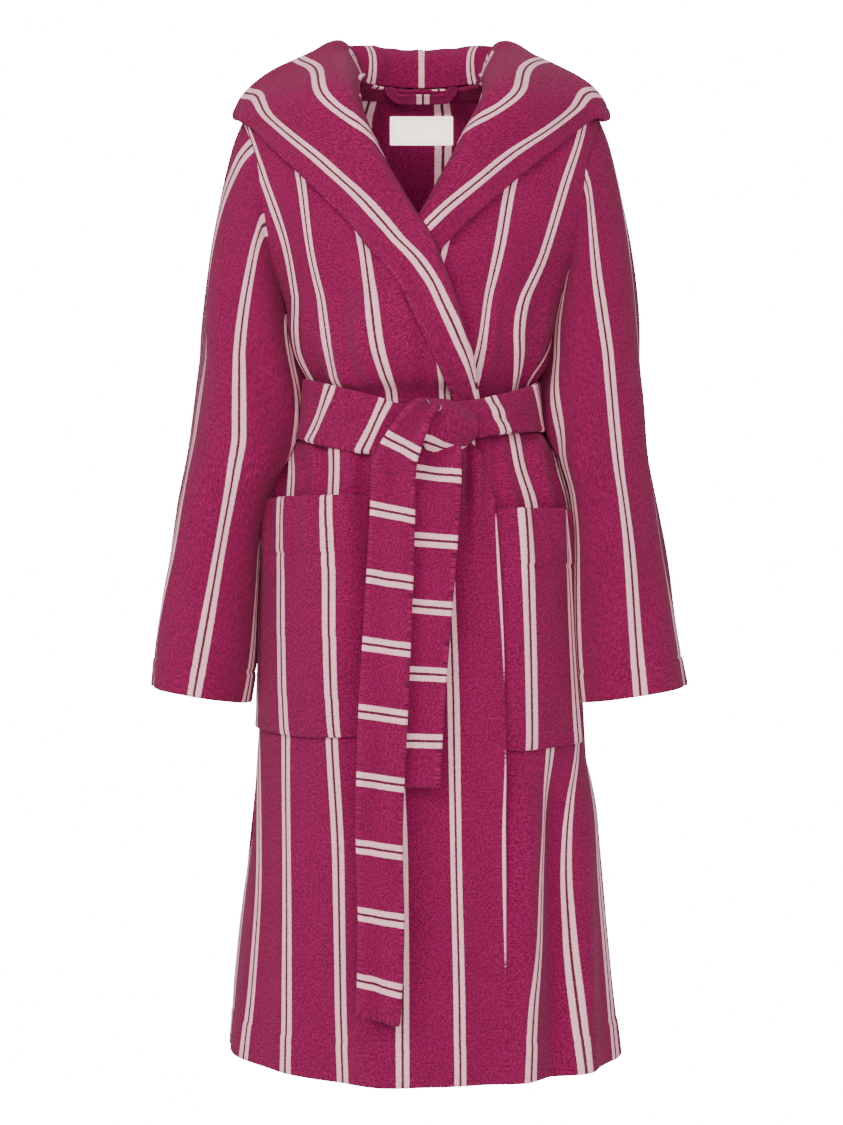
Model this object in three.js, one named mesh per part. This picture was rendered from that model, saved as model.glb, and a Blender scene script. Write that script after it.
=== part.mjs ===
// A hooded terry bathrobe in the shape it has when it is worn: wrapped right over left, belted and knotted,
// with the hood thrown back and its front edges rolled out over the shoulders like a shawl collar.
//
// Millimetres, +Z up, +Y towards the wearer's back, +X towards the wearer's left.
// The origin is the middle of the neck seam at the back, where the hanger loop is sewn.
//
// Every piece of cloth is a sheet that lies on one form, the body surface, or hangs from it. A place on the
// form is an angle round the body (0 at the wearer's left, 90 at the back, 180 right, 270 front), a row down
// the body (0 at the neck seam, 8 at the hem) and an offset outwards. The layers are stacked by offset, each
// one a cloth thickness and a clearance above the one under it.
import * as THREE from "three";

// Cloth
const cloth = 4; // one layer of terry
const doubled = 8; // two layers, as in the belt
const thin = 1.2; // woven label and tape
const layerGap = 1.2; // between layers that lie on each other
const seamGap = 0.8; // between pieces sewn edge to edge
const stepUp = cloth + layerGap;

// Body, measured on the form: drops are below the neck seam, widths and depths are the whole section
const bodyLength = 1122;
const neckWidth = 146;
const neckDepth = 116;
const shoulderWidth = 410;
const shoulderDrop = 46;
const shoulderDepth = 176;
const acrossWidth = 424;
const acrossDrop = 136;
const chestWidth = 300;
const chestDepth = 230;
const armholeDrop = 286;
const waistWidth = 232;
const waistDepth = 190;
const waistDrop = 378;
const hipWidth = 340;
const hipDepth = 240;
const hipDrop = 490;
const thighWidth = 368;
const thighDepth = 262;
const hemWidth = 438;
const hemDepth = 300;
const neckCentre = -neckDepth / 2; // the middle of the section at the neck, in front of the neck seam
const bodyCentre = -76; // and lower down

// Front opening: how far the wrapping edge stands past the centre line
const edgeAtNeck = -66;
const edgeAtAcross = -20;
const edgeAtChest = 34;
const edgeAtWaist = 62;
const wrap = 92;

// Sleeves
const sleeveLength = 662; // shoulder tip to cuff, straight down
const sleeveWidth = 100;
const sleeveDepth = 132;
const cuffWidth = 106;
const cuffDepth = 124;
const sleeveCap = 34; // how far the shoulder's cap is rounded out
const sleeveClearance = 12; // between the sleeve and the belted body beside it
const sleeveStart = 8; // how far from the armhole edge the tube begins, so that it can swing
const armholeAngle = 31; // half the armhole's opening at its widest, seen from the body's middle

// Hood and collar
const standHeight = 46;
const rollLift = 48;
const hoodDepth = 3.75; // the row that the hood's lowest point reaches
const hoodFullness = 52;
const hoodSplit = 60; // angle from the centre back to where the hood becomes the collar
const collarThickness = 6; // two layers, pressed
const collarMouth = 40; // the collar's outer edge at the waist, past the centre line

// Pockets
const pocketWidth = 122;
const pocketHeight = 256;
const pocketTop = 492;
const pocketInner = 58; // from the centre line to the pocket's inner side
const pocketFullness = 15;
const pocketEase = 0.8; // between the sewn pocket and the front, besides the layers' own gap

// Belt
const beltWidth = 58;
const knotWidth = 62;
const knotHeight = 50;
const knotDepth = 26;
const longTail = 618;
const shortTail = 374;
const tailWidth = 53;
const tailDrop = 7; // from the knot down to where a tail hangs free, room for it to swing
const tailSpacing = 10; // between the two tails, one hanging in front of the other
const beltDip = 22; // the tied belt hangs this much lower at the front

// Small pieces
const loopWidth = 84;
const loopHeight = 18;
const loopStrap = 8;
const loopThickness = 3.5;
const loopStart = 2.5; // below the seam
const labelWidth = 76;
const labelHeight = 34;
const labelDrop = 26;
const tapeHeight = 12;
const beltLoopWidth = 14;
const beltLoopEase = 10; // past the belt at each end of a loop
const beltLoopHeight = beltWidth + beltLoopEase * 2;

const right = -1;
const left = 1;
const radians = Math.PI / 180;
const { clamp, lerp, smoothstep } = THREE.MathUtils;

// A smooth line through evenly spaced values that never overshoots them.
function through(values, t) {
  const last = values.length - 1;
  const i = clamp(Math.floor(t), 0, last - 1);
  const f = t - i;
  const rise = (k) => values[k + 1] - values[k];
  const tangent = (k) => {
    if (k === 0) return rise(0);
    if (k === last) return rise(last - 1);
    const [a, b] = [rise(k - 1), rise(k)];
    return a * b <= 0 ? 0 : (2 * a * b) / (a + b);
  };
  const [m0, m1] = [tangent(i), tangent(i + 1)];
  const [f2, f3] = [f * f, f * f * f];
  return (
    values[i] * (2 * f3 - 3 * f2 + 1) +
    m0 * (f3 - 2 * f2 + f) +
    values[i + 1] * (3 * f2 - 2 * f3) +
    m1 * (f3 - f2)
  );
}

// Rows of the form, neck to hem
const rows = {
  neck: 0,
  slope: 1,
  tip: 2,
  across: 3,
  chest: 4,
  waist: 5,
  hip: 6,
  thigh: 7,
  hem: 8,
};
const pocketBottom = pocketTop + pocketHeight;
const slopeShare = 0.42; // how far down the shoulder the second row lies
const drops = [
  0,
  shoulderDrop * slopeShare,
  shoulderDrop,
  acrossDrop,
  armholeDrop,
  waistDrop,
  hipDrop,
  pocketBottom,
  bodyLength,
];
const halfWidths = [
  neckWidth / 2,
  lerp(neckWidth, shoulderWidth, 0.5) / 2,
  shoulderWidth / 2,
  acrossWidth / 2,
  chestWidth / 2,
  waistWidth / 2,
  hipWidth / 2,
  thighWidth / 2,
  hemWidth / 2,
];
const halfDepths = [
  neckDepth / 2,
  lerp(neckDepth, shoulderDepth, 0.5) / 2,
  shoulderDepth / 2,
  lerp(shoulderDepth, chestDepth, 0.6) / 2,
  chestDepth / 2,
  waistDepth / 2,
  hipDepth / 2,
  thighDepth / 2,
  hemDepth / 2,
];
const centres = [
  neckCentre,
  lerp(neckCentre, bodyCentre, 0.3),
  lerp(neckCentre, bodyCentre, 0.6),
  ...Array(6).fill(bodyCentre),
];
const edges = [
  edgeAtNeck,
  edgeAtNeck * 1.06,
  edgeAtNeck,
  edgeAtAcross,
  edgeAtChest,
  edgeAtWaist,
  wrap - 2,
  wrap,
  wrap,
];

// The row at a drop below the neck seam, found by halving.
function rowAt(drop) {
  let [low, high] = [0, rows.hem];
  for (let k = 0; k < 40; k++) {
    const middle = (low + high) / 2;
    if (through(drops, middle) < drop) low = middle;
    else high = middle;
  }
  return low;
}

function onForm(angle, row) {
  const turn = angle * radians;
  return new THREE.Vector3(
    through(halfWidths, row) * Math.cos(turn),
    through(centres, row) + through(halfDepths, row) * Math.sin(turn),
    -through(drops, row),
  );
}

// A place on the form, moved out along the form's normal.
function place(angle, row, out = 0) {
  const small = 1e-3;
  const [above, below] = [Math.max(row - small, 0), Math.min(row + small, rows.hem)];
  const round = onForm(angle + small, row).sub(onForm(angle - small, row));
  const down = onForm(angle, below).sub(onForm(angle, above));
  return onForm(angle, row).addScaledVector(down.cross(round).normalize(), out);
}

// The angle on the front of the form where a row has this x.
function angleAt(x, row) {
  return 360 - Math.acos(clamp(x / through(halfWidths, row), -1, 1)) / radians;
}

// The same angle on the other side of the body.
const mirrored = (side, angle) => (side === right ? angle : 180 - angle);

// A sheet of cloth. at(u, v) gives its middle surface for u and v from 0 to 1, and half the thickness
// goes to each side of it. A closed sheet joins its last column to its first, as a tube does.
function sheet(name, at, columns, rowsDown, thickness, closed = false) {
  const around = closed ? columns : columns + 1;
  const points = [];
  for (const half of [0.5, -0.5])
    for (let j = 0; j <= rowsDown; j++)
      for (let i = 0; i < around; i++) {
        const [u, v] = [i / columns, j / rowsDown];
        const [small, edge] = [1e-4, (t) => clamp(t, 0, 1)];
        const [u0, u1] = closed ? [u - small, u + small] : [edge(u - small), edge(u + small)];
        const across = at(u1, v).sub(at(u0, v));
        const down = at(u, edge(v + small)).sub(at(u, edge(v - small)));
        const normal = across.cross(down).normalize();
        points.push(at(u, v).addScaledVector(normal, half * thickness));
      }
  const faces = [];
  const index = (side, i, j) => side * around * (rowsDown + 1) + j * around + (i % around);
  const quad = (a, b, c, d) => faces.push(a, b, c, a, c, d);
  for (let j = 0; j < rowsDown; j++)
    for (let i = 0; i < columns; i++) {
      const corners = (s) => [index(s, i, j), index(s, i + 1, j), index(s, i + 1, j + 1), index(s, i, j + 1)];
      quad(...corners(0));
      quad(...corners(1).reverse());
    }
  for (let i = 0; i < columns; i++) {
    quad(index(0, i + 1, 0), index(0, i, 0), index(1, i, 0), index(1, i + 1, 0));
    const end = rowsDown;
    quad(index(0, i, end), index(0, i + 1, end), index(1, i + 1, end), index(1, i, end));
  }
  if (!closed)
    for (let j = 0; j < rowsDown; j++) {
      quad(index(0, 0, j), index(0, 0, j + 1), index(1, 0, j + 1), index(1, 0, j));
      const end = columns;
      quad(index(0, end, j + 1), index(0, end, j), index(1, end, j), index(1, end, j + 1));
    }
  const geometry = new THREE.BufferGeometry();
  geometry.setAttribute("position", new THREE.Float32BufferAttribute(points.flatMap((p) => p.toArray()), 3));
  geometry.setIndex(faces);
  return named(name, geometry, terry);
}

const terry = new THREE.MeshStandardMaterial({ color: 0x9f2e59, roughness: 0.95, metalness: 0 });
const woven = new THREE.MeshStandardMaterial({ color: 0xf0e6df, roughness: 0.8, metalness: 0 });

function named(name, geometry, material) {
  const mesh = new THREE.Mesh(geometry, material);
  mesh.name = name;
  return mesh;
}

// Half the armhole's opening, as an angle, at a row between the shoulder tip and the underarm.
function armhole(row) {
  const share = clamp((row - rows.tip) / (rows.chest - rows.tip), 0, 1);
  return armholeAngle * Math.sin(Math.PI * share) ** 0.8;
}

// The angle that a seam's clearance takes at a row.
const seamAngle = (row) => seamGap / 2 / through(halfDepths, row) / radians;

// The front edge's angle on the right side of the body, before any mirroring.
const frontEdge = (row) => angleAt(through(edges, row), row);

const lapelEnd = waistDrop - beltWidth / 2 - 32; // the drop at which the collar goes in under the belt
const overLapel = collarThickness + layerGap + 5;
const overPocket = stepUp + pocketFullness * 0.8;

// The over front climbs onto the under front, onto the collar that rolls out of it, and further down onto
// the pocket sewn to it.
function overOut(angle, row) {
  const x = through(halfWidths, row) * Math.cos(angle * radians);
  const drop = through(drops, row);
  const start = -through(edges, row);
  const onto = smoothstep(x, start - 64, start - 18);
  const lapel = 1 - smoothstep(drop, lapelEnd + 10, lapelEnd + 36);
  const toPocket = smoothstep(x, pocketInner - 34, pocketInner - 8);
  const beside = smoothstep(drop, pocketTop - 50, pocketTop - 10);
  const below = 1 - smoothstep(drop, pocketBottom + 4, pocketBottom + 80);
  return (stepUp + 1 + overLapel * lapel) * onto + overPocket * toPocket * beside * below;
}

function backPanel() {
  const at = (u, v) => {
    const row = v * rows.hem;
    const start = armhole(row) + seamAngle(row);
    return place(lerp(start, 180 - start, u), row);
  };
  return sheet("back_panel", at, 14, 24, cloth);
}

function frontPanel(side, name) {
  const at = (u, v) => {
    const row = v * rows.hem;
    const angle = lerp(180 + armhole(row) + seamAngle(row), frontEdge(row), u);
    return place(mirrored(side, angle), row, side === right ? overOut(angle, row) : 0);
  };
  const from = side === right ? at : (u, v) => at(1 - u, v);
  return sheet(name, from, 12, 24, cloth);
}

// The edge of the armhole as a ring: 0 at the shoulder tip, down the front to 0.5 at the underarm, up the back.
function armholeRing(side, turn) {
  const share = turn < 0.5 ? turn * 2 : 2 - turn * 2;
  const row = lerp(rows.tip, rows.chest, share);
  const angle = 180 + (turn < 0.5 ? 1 : -1) * armhole(row);
  return place(mirrored(side, angle), row);
}

// How wide the belted body is at a drop, which is what the sleeve hangs beside.
function bodySide(drop) {
  const cloths = through(halfWidths, rowAt(drop)) + cloth / 2;
  const belted = waistWidth / 2 + beltSide + doubled / 2 + thin + layerGap * 2;
  return Math.abs(drop - waistDrop) < beltLoopHeight ? Math.max(cloths, belted) : cloths;
}

function sleeveRing(side, turn, drop, width, depth, back) {
  const inner = bodySide(drop) + sleeveClearance;
  const angle = turn * 2 * Math.PI;
  const x = inner + width / 2 + (width / 2) * Math.cos(angle);
  return new THREE.Vector3(side * x, bodyCentre + back - (depth / 2) * Math.sin(angle), -drop);
}

function sleeve(side, name) {
  const cuffDrop = shoulderDrop + sleeveLength;
  const stations = [armholeDrop + 34, waistDrop, hipDrop + 6, (hipDrop + cuffDrop) / 2, cuffDrop];
  const widths = [sleeveWidth, sleeveWidth, sleeveWidth, lerp(sleeveWidth, cuffWidth, 0.5), cuffWidth];
  const depths = [sleeveDepth, sleeveDepth, sleeveDepth, lerp(sleeveDepth, cuffDepth, 0.5), cuffDepth];
  const backs = [12, 20, 24, 26, 26];
  const top = 0.34; // share of the rings that run from the armhole to the first full section
  const at = (u, v) => {
    if (v < top) {
      const edge = armholeRing(side, ((u % 1) + 1) % 1);
      const ring = sleeveRing(side, u, stations[0], widths[0], depths[0], backs[0]);
      const run = edge.distanceTo(ring);
      const t = lerp(Math.min(sleeveStart / run, 0.3), 1, v / top);
      const cap = sleeveCap * t * (1 - t) * Math.max(0, Math.cos(u * 2 * Math.PI));
      const clear = (cloth + 3) * (1 - t);
      return edge.lerp(ring, t).add(new THREE.Vector3(side * (cap + clear), 0, 0));
    }
    const t = ((v - top) / (1 - top)) * (stations.length - 1);
    const drop = through(stations, t);
    return sleeveRing(side, u, drop, through(widths, t), through(depths, t), through(backs, t));
  };
  const from = side === right ? (u, v) => at(1 - u, v) : at;
  return sheet(name, from, 16, 12, cloth, true);
}

// A sheet through a net of places on the form: each rib is a list of [angle, row, out] across the piece.
function ribbed(ribs, side) {
  const place3 = (u, v, k) => {
    const across = ribs.map((rib) => through(rib.map((point) => point[k]), v * (rib.length - 1)));
    return through(across, u * (ribs.length - 1));
  };
  return (u, v) => {
    const [angle, row, out] = [0, 1, 2].map((k) => place3(u, v, k));
    const under = side === right && row > rows.tip ? overOut(angle, row) : 0;
    return place(mirrored(side, angle), row, out + under);
  };
}

// The hood's half: up from the neck seam, over the fold, down the back, and out again to the face edge.
function hoodHalf(side, name) {
  const seat = cloth / 2 + layerGap + cloth / 2;
  const rib = (angle, bottom, full) => [
    [angle, 0, seat],
    [angle, 0, standHeight * 0.75],
    [angle, 0.35, standHeight],
    [angle, 1.6, seat + 14],
    [angle, lerp(1.6, bottom, 0.6), seat + 4],
    [angle, bottom, seat + 4 + full * 0.25],
    [angle, lerp(1.6, bottom, 0.7), seat + full],
    [angle, 1.9, seat + full],
  ];
  const first = 90 + 0.35;
  const last = 90 + hoodSplit;
  const ribs = [
    rib(first, hoodDepth, hoodFullness),
    rib(lerp(first, last, 0.33), hoodDepth - 0.1, hoodFullness),
    rib(lerp(first, last, 0.67), hoodDepth - 0.45, hoodFullness * 0.9),
    rib(last, hoodDepth - 1.3, hoodFullness * 0.72),
  ];
  const at = ribbed(ribs, side);
  const from = side === right ? at : (u, v) => at(1 - u, v);
  return sheet(name, from, 6, 18, cloth);
}

// The hood's front edge, rolled out over the shoulder and down the chest to the belt.
function collar(side, name) {
  const seat = cloth / 2 + layerGap + collarThickness / 2 + 2.2;
  const at3 = (x, drop) => [angleAt(x, rowAt(drop)), rowAt(drop)];
  const shoulder = (angle, lift, rimRow, rimOut) => [
    [angle, 0, seat],
    [angle, 0, lift * 0.7],
    [angle, 0.3, lift],
    [angle, lerp(0.3, rimRow, 0.55), lerp(lift, rimOut, 0.35)],
    [angle, rimRow, rimOut],
  ];
  // One rib of the part that lies on the chest: from the front's edge at a row out to a place on the rim.
  const lapel = (row, x, drop, lift) => {
    const roll = frontEdge(row) - 0.6;
    const [angle, rimRow] = at3(x, drop);
    const rib = (share, out) => [lerp(roll, angle, share), lerp(row, rimRow, share), out];
    return [rib(0, seat), rib(0.07, seat + lift), rib(0.3, seat + lift), rib(0.65, seat + lift / 2), rib(1, seat)];
  };
  const half = shoulderWidth / 2;
  const neckEnd = frontEdge(0);
  const shoulderRim = at3(-half * 0.82, shoulderDrop + 34);
  const ribs = [
    shoulder(90 + hoodSplit + 0.8, standHeight, 2.05, 42),
    shoulder(180, rollLift + 6, 2.02, 14),
    [
      [neckEnd, 0, seat],
      [neckEnd - 1, 0.05, rollLift * 0.8],
      [neckEnd - 4, 0.7, rollLift],
      [lerp(neckEnd, shoulderRim[0], 0.55), 1.7, rollLift * 0.62],
      [...shoulderRim, seat + 2],
    ],
    lapel(1.6, -half * 0.52, acrossDrop + 6, 14),
    lapel(2.8, -half * 0.28, acrossDrop + 62, 2),
    lapel(3.5, -half * 0.03, armholeDrop - 30, 1),
    lapel(4.2, collarMouth * 0.45, armholeDrop + 20, 1),
    lapel(rowAt(lapelEnd - 2), collarMouth, lapelEnd, 0.5),
  ];
  const at = ribbed(ribs, side);
  const from = side === right ? at : (u, v) => at(1 - u, v);
  return sheet(name, from, 18, 7, collarThickness);
}

// A patch pocket: sewn flat at its sides and bottom, standing off the front at its mouth.
function pocket(side, name) {
  const at = (u, v) => {
    const row = rowAt(lerp(pocketTop, pocketBottom - 6, v));
    const x = lerp(-pocketInner - pocketWidth, -pocketInner, u);
    const angle = angleAt(x, row);
    const under = side === right ? overOut(angle, row) : 0;
    const bag = pocketFullness * Math.sin(Math.PI * u) ** 0.6 * Math.sqrt(1 - v ** 3);
    return place(mirrored(side, angle), row, under + stepUp + pocketEase + bag);
  };
  const from = side === right ? at : (u, v) => at(1 - u, v);
  return sheet(name, from, 8, 7, cloth);
}

// How far out the belt's middle lies: close at the sides and the back, over both fronts at the front.
const beltSide = cloth / 2 + layerGap + doubled / 2 + 1.6;
const beltFront = stepUp + 2 + beltSide;
const beltOut = (angle) => lerp(beltSide, beltFront, smoothstep(-Math.sin(angle * radians), -0.1, 0.45));

function beltWaist() {
  const dip = (angle) => beltDip * (0.5 - 0.5 * Math.sin(angle * radians));
  const at = (u, v) => {
    const angle = 360 * u + 90;
    const drop = waistDrop + dip(angle) + (v - 0.5) * beltWidth;
    return place(angle, rowAt(drop), beltOut(angle));
  };
  return sheet("belt_waist", (u, v) => at(u, 1 - v), 36, 2, doubled, true);
}

// Where the belt's face is, at the front of the knot.
const knotDrop = waistDrop + beltDip;
const knotBack = place(270, rowAt(knotDrop + knotHeight * 0.3), beltFront + doubled / 2).y - 1;
const knotMiddle = new THREE.Vector3(0, knotBack - knotDepth / 2, -knotDrop);

function beltKnot() {
  const ball = new THREE.SphereGeometry(1, 14, 8);
  const square = (t) => Math.sign(t) * Math.abs(t) ** 0.7; // a sphere squared up towards a box
  const corners = ball.attributes.position;
  for (let k = 0; k < corners.count; k++)
    corners.setXYZ(
      k,
      (square(corners.getX(k)) * knotWidth) / 2,
      (square(corners.getY(k)) * knotDepth) / 2,
      (square(corners.getZ(k)) * knotHeight) / 2,
    );
  const knot = named("belt_knot", ball, terry);
  knot.position.copy(knotMiddle);
  return knot;
}

// The front of everything a tail hangs over, at a drop.
function skirtFront(drop) {
  const row = rowAt(drop);
  const over = 4 * stepUp + cloth;
  return through(centres, row) - through(halfDepths, row) - over;
}

const tailTop = knotDrop + knotHeight / 2 + tailDrop;

// A hanging end of the belt. It leaves the knot and lies down on the skirt, which comes forward below it.
function beltTail(name, length, fromX, toX, layer) {
  const at = (u, v) => {
    const drop = tailTop + v * length;
    const front = Math.min(skirtFront(drop), knotMiddle.y) - layer * (doubled + tailSpacing);
    const x = lerp(fromX, toX, v) + (u - 0.5) * tailWidth;
    return new THREE.Vector3(x, front, -drop);
  };
  return sheet(name, (u, v) => at(u, 1 - v), 1, 10, doubled);
}

function hangerLoop() {
  const [w, h, s] = [loopWidth / 2, loopHeight, loopStrap];
  const outline = new THREE.Shape();
  const corner = loopHeight - loopStrap / 2;
  outline.moveTo(-w, -loopStart);
  outline.quadraticCurveTo(-w + corner * 0.25, -h, -w + corner, -h);
  outline.lineTo(w - corner, -h);
  outline.quadraticCurveTo(w - corner * 0.25, -h, w, -loopStart);
  outline.lineTo(w - s, -loopStart);
  outline.quadraticCurveTo(w - s - 2, -h + s, w - corner - s * 0.4, -h + s);
  outline.lineTo(-w + corner + s * 0.4, -h + s);
  outline.quadraticCurveTo(-w + s + 2, -h + s, -w + s, -loopStart);
  outline.closePath();
  const strap = new THREE.ExtrudeGeometry(outline, { depth: loopThickness, bevelEnabled: false, curveSegments: 5 });
  strap.rotateX(Math.PI / 2);
  const loop = named("hanger_loop", strap, terry);
  loop.position.y = loopPivot + loopThickness / 2;
  return loop;
}

// The strap is straight, so its ends meet the curved neck tape and its middle stands off it.
const loopEnds = neckCentre + (neckDepth / 2) * Math.sqrt(1 - (loopWidth / neckWidth) ** 2);
const loopPivot = loopEnds - cloth / 2 - thin - layerGap - loopThickness / 2 - 1;

function label() {
  const at = (u, v) => {
    const row = rowAt(labelDrop + labelHeight * v);
    const angle = 90 + ((u - 0.5) * labelWidth) / through(halfWidths, row) / radians;
    return place(angle, row, -cloth / 2 - thin / 2 - layerGap - 1);
  };
  const tab = sheet("label", at, 4, 3, thin);
  tab.material = woven;
  return tab;
}

// The tape that covers the neck seam inside the back.
function neckTape() {
  const at = (u, v) => place(lerp(20, 160, u), v * rowAt(tapeHeight), -cloth / 2 - thin / 2 - 0.6);
  return sheet("neck_tape", at, 12, 1, thin);
}

// A strap on the side seam that the belt runs through.
function beltLoop(side, name) {
  const at = (u, v) => {
    const drop = waistDrop + beltDip / 2 + (v - 0.5) * beltLoopHeight;
    const row = rowAt(drop);
    const angle = 180 + ((u - 0.5) * beltLoopWidth) / through(halfDepths, row) / radians;
    const over = smoothstep(Math.min(v, 1 - v), 0, 0.12);
    return place(mirrored(side, angle), row, lerp(stepUp, beltSide + doubled / 2 + layerGap * 2 + thin * 2, over));
  };
  const from = side === right ? at : (u, v) => at(1 - u, v);
  return sheet(name, from, 1, 14, thin * 1.5);
}

const robe = new THREE.Group();
robe.add(
  backPanel(),
  frontPanel(right, "right_front"),
  frontPanel(left, "left_front"),
  sleeve(right, "right_sleeve"),
  sleeve(left, "left_sleeve"),
  hoodHalf(right, "hood_right_half"),
  hoodHalf(left, "hood_left_half"),
  collar(right, "right_collar"),
  collar(left, "left_collar"),
  pocket(right, "right_pocket"),
  pocket(left, "left_pocket"),
  beltWaist(),
  beltKnot(),
  beltTail("belt_long_tail", longTail, -30, -49, 1),
  beltTail("belt_short_tail", shortTail, 19, -10, 0),
  beltLoop(right, "right_belt_loop"),
  beltLoop(left, "left_belt_loop"),
  hangerLoop(),
  label(),
  neckTape(),
);

export default robe;
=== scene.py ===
# A hooded, striped terry bathrobe, wrapped right over left, belted and knotted, with its hood thrown back.

import bpy
import numpy as np
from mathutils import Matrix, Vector


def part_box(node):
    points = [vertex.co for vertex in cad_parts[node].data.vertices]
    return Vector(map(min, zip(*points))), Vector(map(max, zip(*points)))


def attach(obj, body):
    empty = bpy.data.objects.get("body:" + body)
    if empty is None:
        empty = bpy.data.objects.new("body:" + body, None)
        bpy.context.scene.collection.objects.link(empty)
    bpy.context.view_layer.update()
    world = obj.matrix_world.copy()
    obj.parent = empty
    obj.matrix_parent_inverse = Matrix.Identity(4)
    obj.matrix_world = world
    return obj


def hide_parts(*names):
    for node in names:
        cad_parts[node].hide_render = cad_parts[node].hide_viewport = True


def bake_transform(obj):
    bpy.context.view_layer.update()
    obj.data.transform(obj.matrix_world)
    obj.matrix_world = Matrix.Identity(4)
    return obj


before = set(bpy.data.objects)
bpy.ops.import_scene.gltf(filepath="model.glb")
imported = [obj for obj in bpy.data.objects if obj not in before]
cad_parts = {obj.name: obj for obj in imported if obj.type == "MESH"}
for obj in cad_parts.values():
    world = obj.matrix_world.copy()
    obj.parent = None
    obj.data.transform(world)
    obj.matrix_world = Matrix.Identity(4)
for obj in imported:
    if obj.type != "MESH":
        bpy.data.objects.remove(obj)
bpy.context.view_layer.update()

# Metres, as in the frame: +Z up, +Y towards the wearer's back, +X towards the wearer's left.
# The origin is the middle of the neck seam at the back.
terry = 0.0038  # one layer of cloth
gap = 0.0012  # between layers that lie on each other
step = terry + gap
stripeRepeat = 0.072
seed = 7


# 0 below low, 1 above high and an S between.
def smooth(x, low, high):
    t = np.clip((x - low) / (high - low), 0, 1)
    return t * t * (3 - 2 * t)


def mix(a, b, t):
    return a + (b - a) * t


# A smooth hill of height 1 and half-width width.
def bump(x, centre, width):
    return np.exp(-(((x - centre) / width) ** 2))


# A smooth line through the values at the knots that never overshoots them.
def through(knots, values, x):
    knots, values, x = (np.asarray(k, float) for k in (knots, values, x))
    gaps = np.diff(knots)
    slopes = np.diff(values) / gaps
    product = slopes[:-1] * slopes[1:]
    total = slopes[:-1] + slopes[1:]
    inner = np.where(product > 0, 2 * product / np.where(total == 0, 1, total), 0)
    tangents = np.concatenate([slopes[:1], inner, slopes[-1:]])
    i = np.clip(np.searchsorted(knots, x, side="right") - 1, 0, len(knots) - 2)
    f = np.clip((x - knots[i]) / gaps[i], 0, 1)
    f2, f3 = f * f, f * f * f
    return (
        values[i] * (2 * f3 - 3 * f2 + 1)
        + gaps[i] * tangents[i] * (f3 - 2 * f2 + f)
        + values[i + 1] * (3 * f2 - 2 * f3)
        + gaps[i] * tangents[i + 1] * (f3 - f2)
    )


# A round curve through evenly spaced points, t from 0 to 1. Points run along the first axis.
def spline(points, t):
    points = np.asarray(points, float)
    last = len(points) - 1
    at = np.clip(np.asarray(t, float), 0, 1) * last
    i = np.minimum(at.astype(int), last - 1)
    f = (at - i).reshape(at.shape + (1,) * (points.ndim - 1))
    before, a, b, after = (points[np.clip(i + k, 0, last)] for k in (-1, 0, 1, 2))
    m0, m1 = (b - before) / 2, (after - a) / 2
    return (
        a * (1 + 2 * f) * (1 - f) ** 2
        + m0 * f * (1 - f) ** 2
        + b * f * f * (3 - 2 * f)
        + m1 * f * f * (f - 1)
    )


# A surface through ribs of points: u runs from rib to rib and v along each of them.
def net(ribs, u, v):
    ribs = np.asarray(ribs, float)
    across = spline(ribs, u[:, 0])
    along = np.swapaxes(across, 0, 1)
    return np.swapaxes(spline(along, v[0]), 0, 1)


# Uneven waves across u that drift along v, from -1 to 1: three sines that wander apart.
def ripple(u, v, wavelength, reach, which):
    rng = np.random.default_rng(seed + which)
    total = 0
    for share in (1.0, 0.62, 1.55):
        phase, wander, slow = rng.uniform(0, 2 * np.pi, 3)
        drift = (
            0.9 * np.sin(2 * np.pi * v / reach + wander)
            + 0.5 * np.sin(2 * np.pi * v / (reach * 0.6) + slow)
        )
        total = total + np.sin(2 * np.pi * u / (wavelength * share) + phase + drift)
    return total / 3


# Rows of the form, neck to hem: neck, slope, shoulder tip, across the chest, underarm, waist, hip, pocket
# bottom, hem. A place on it is an angle (0 at the wearer's left, 90 back, 180 right, 270 front), a row and
# an offset outwards.
rows = np.arange(9)
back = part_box("back_panel")
hemDrop = -back[0].z
drops = [0, 0.019, 0.046, 0.136, 0.286, 0.378, 0.490, 0.748, hemDrop]
halfWidths = [0.073, 0.139, 0.205, 0.212, 0.150, 0.118, 0.170, 0.184, 0.219]
halfDepths = [0.058, 0.073, 0.088, 0.104, 0.115, 0.095, 0.120, 0.131, 0.150]
centres = [-0.058, -0.063, -0.069, -0.076, -0.076, -0.076, -0.076, -0.076, -0.076]
rowSteps = np.linspace(0, 8, 801)
dropSteps = through(rows, drops, rowSteps)
waistDrop = 0.378
armholeAngle = 31


def rowAt(drop):
    return np.interp(drop, dropSteps, rowSteps)


def dropAt(row):
    return through(rows, drops, row)


# An ellipse at each row: x = a cos, y = centre + b sin, z = -drop.
def onForm(angle, row):
    turn = np.radians(angle)
    x = through(rows, halfWidths, row) * np.cos(turn)
    y = through(rows, centres, row) + through(rows, halfDepths, row) * np.sin(turn)
    return np.stack([x, y, -dropAt(row)], -1)


def formNormal(angle, row):
    small = 1e-3
    around = onForm(angle + small, row) - onForm(angle - small, row)
    down = onForm(angle, np.minimum(row + small, 8)) - onForm(angle, np.maximum(row - small, 0))
    normal = np.cross(down, around)
    return normal / np.linalg.norm(normal, axis=-1, keepdims=True)


def place(angle, row, out):
    angle, row, out = np.broadcast_arrays(angle, row, out)
    return onForm(angle, row) + formNormal(angle, row) * out[..., None]


# The angle on the front of the form where a row has this x.
def angleAt(x, row):
    return 360 - np.degrees(np.arccos(np.clip(x / through(rows, halfWidths, row), -1, 1)))


def armhole(row):
    share = np.clip((row - 2) / 2, 0, 1)
    return armholeAngle * np.sin(np.pi * share) ** 0.8


def unit(vectors):
    return vectors / np.maximum(np.linalg.norm(vectors, axis=-1, keepdims=True), 1e-12)


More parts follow.
